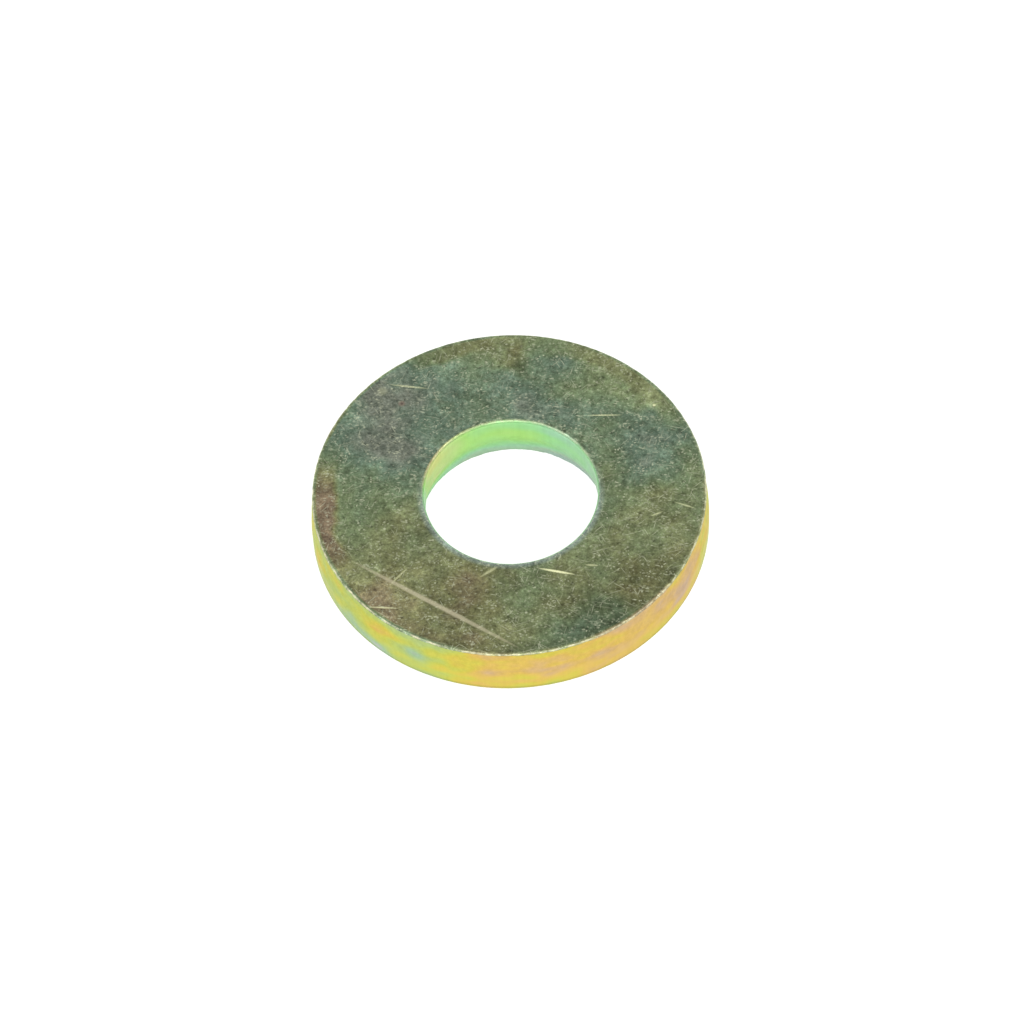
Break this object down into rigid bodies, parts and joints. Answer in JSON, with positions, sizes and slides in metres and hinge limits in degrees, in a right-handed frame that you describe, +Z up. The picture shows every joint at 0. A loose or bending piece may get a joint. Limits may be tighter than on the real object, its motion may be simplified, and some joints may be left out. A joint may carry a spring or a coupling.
{
  "type": "flat washer",
  "caption": "Thick round flat washer with a central through hole, a rounded hole rim and slightly tapered punched walls.",
  "frame": {"origin": "centre of the bottom face, on the hole's axis", "axes": "+Z up the hole's axis, towards the face with the rounded hole rim; the ring is the same all round, so +X and +Y are any two directions across it"},
  "size_m": [0.0398, 0.0398, 0.0059],
  "materials": {
    "plated_steel": "satin"
  },
  "bodies": {
    "root": {"washer": "plated_steel"}
  },
  "joints": []
}
